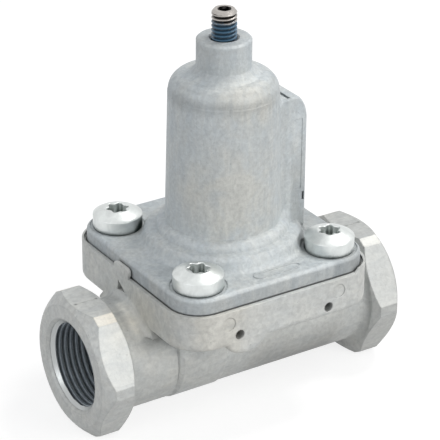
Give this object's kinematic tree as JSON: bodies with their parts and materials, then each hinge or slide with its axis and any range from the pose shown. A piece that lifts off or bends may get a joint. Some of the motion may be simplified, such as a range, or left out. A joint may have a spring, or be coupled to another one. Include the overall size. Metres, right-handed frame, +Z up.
{
  "type": "overflow valve",
  "caption": "In-line pneumatic overflow valve: die-cast housing with threaded hexagon ports, square bolted flange, spring bonnet and adjusting screw.",
  "frame": {"origin": "on the plane of the lower hexagon flats, below the point where the port axis and the adjusting axis cross", "axes": "+Z up along the adjusting screw; X along the ports, inlet at -X, outlet at +X; -Y is the face with the two small pin holes"},
  "size_m": [0.0844, 0.054, 0.097],
  "materials": {
    "cast_body": "die-cast, satin",
    "cast_bonnet": "die-cast, matt",
    "zinc_steel": "zinc plated",
    "dark_steel": "black steel with blue thread-lock patch",
    "spring_steel": "oiled spring wire",
    "rubber": "moulded rubber",
    "turned_aluminium": "turned",
    "brass": "turned",
    "guide_plastic": "moulded"
  },
  "bodies": {
    "housing": {"valve_body": "cast_body", "bonnet": "cast_bonnet", "cover_screws": "zinc_steel", "diaphragm": "rubber", "set_spring": "spring_steel", "check_spring": "spring_steel", "check_guide": "guide_plastic", "retaining_ring": "spring_steel"},
    "piston": {"pressure_piston": "turned_aluminium"},
    "plate": {"spring_plate": "zinc_steel"},
    "screw": {"adjusting_screw": "dark_steel"},
    "check_valve": {"check_disc": "brass", "check_seal": "rubber"}
  },
  "joints": [
    {"name": "piston_lift", "type": "slide", "parent": "housing", "child": "piston", "axis": [0, 0, 1], "range_m": [0, 0.0018], "stiffness_N_per_m": 45000, "deforming": ["set_spring", "diaphragm"]},
    {"name": "screw_feed", "type": "slide", "parent": "housing", "child": "plate", "axis": [0, 0, 1], "range_m": [-0.004, 0.002], "deforming": ["set_spring"]},
    {"name": "screw_turn", "type": "hinge", "parent": "plate", "child": "screw", "pos_m": [0, 0, 0.082], "axis": [0, 0, 1], "range_deg": [-1440, 720]},
    {"name": "check_lift", "type": "slide", "parent": "housing", "child": "check_valve", "axis": [1, 0, 0], "range_m": [0, 0.003], "stiffness_N_per_m": 150, "deforming": ["check_spring"]}
  ],
  "couplings": [
    {"joint": "screw_turn", "follows": "screw_feed", "rad_per_m": 6283.2}
  ]
}
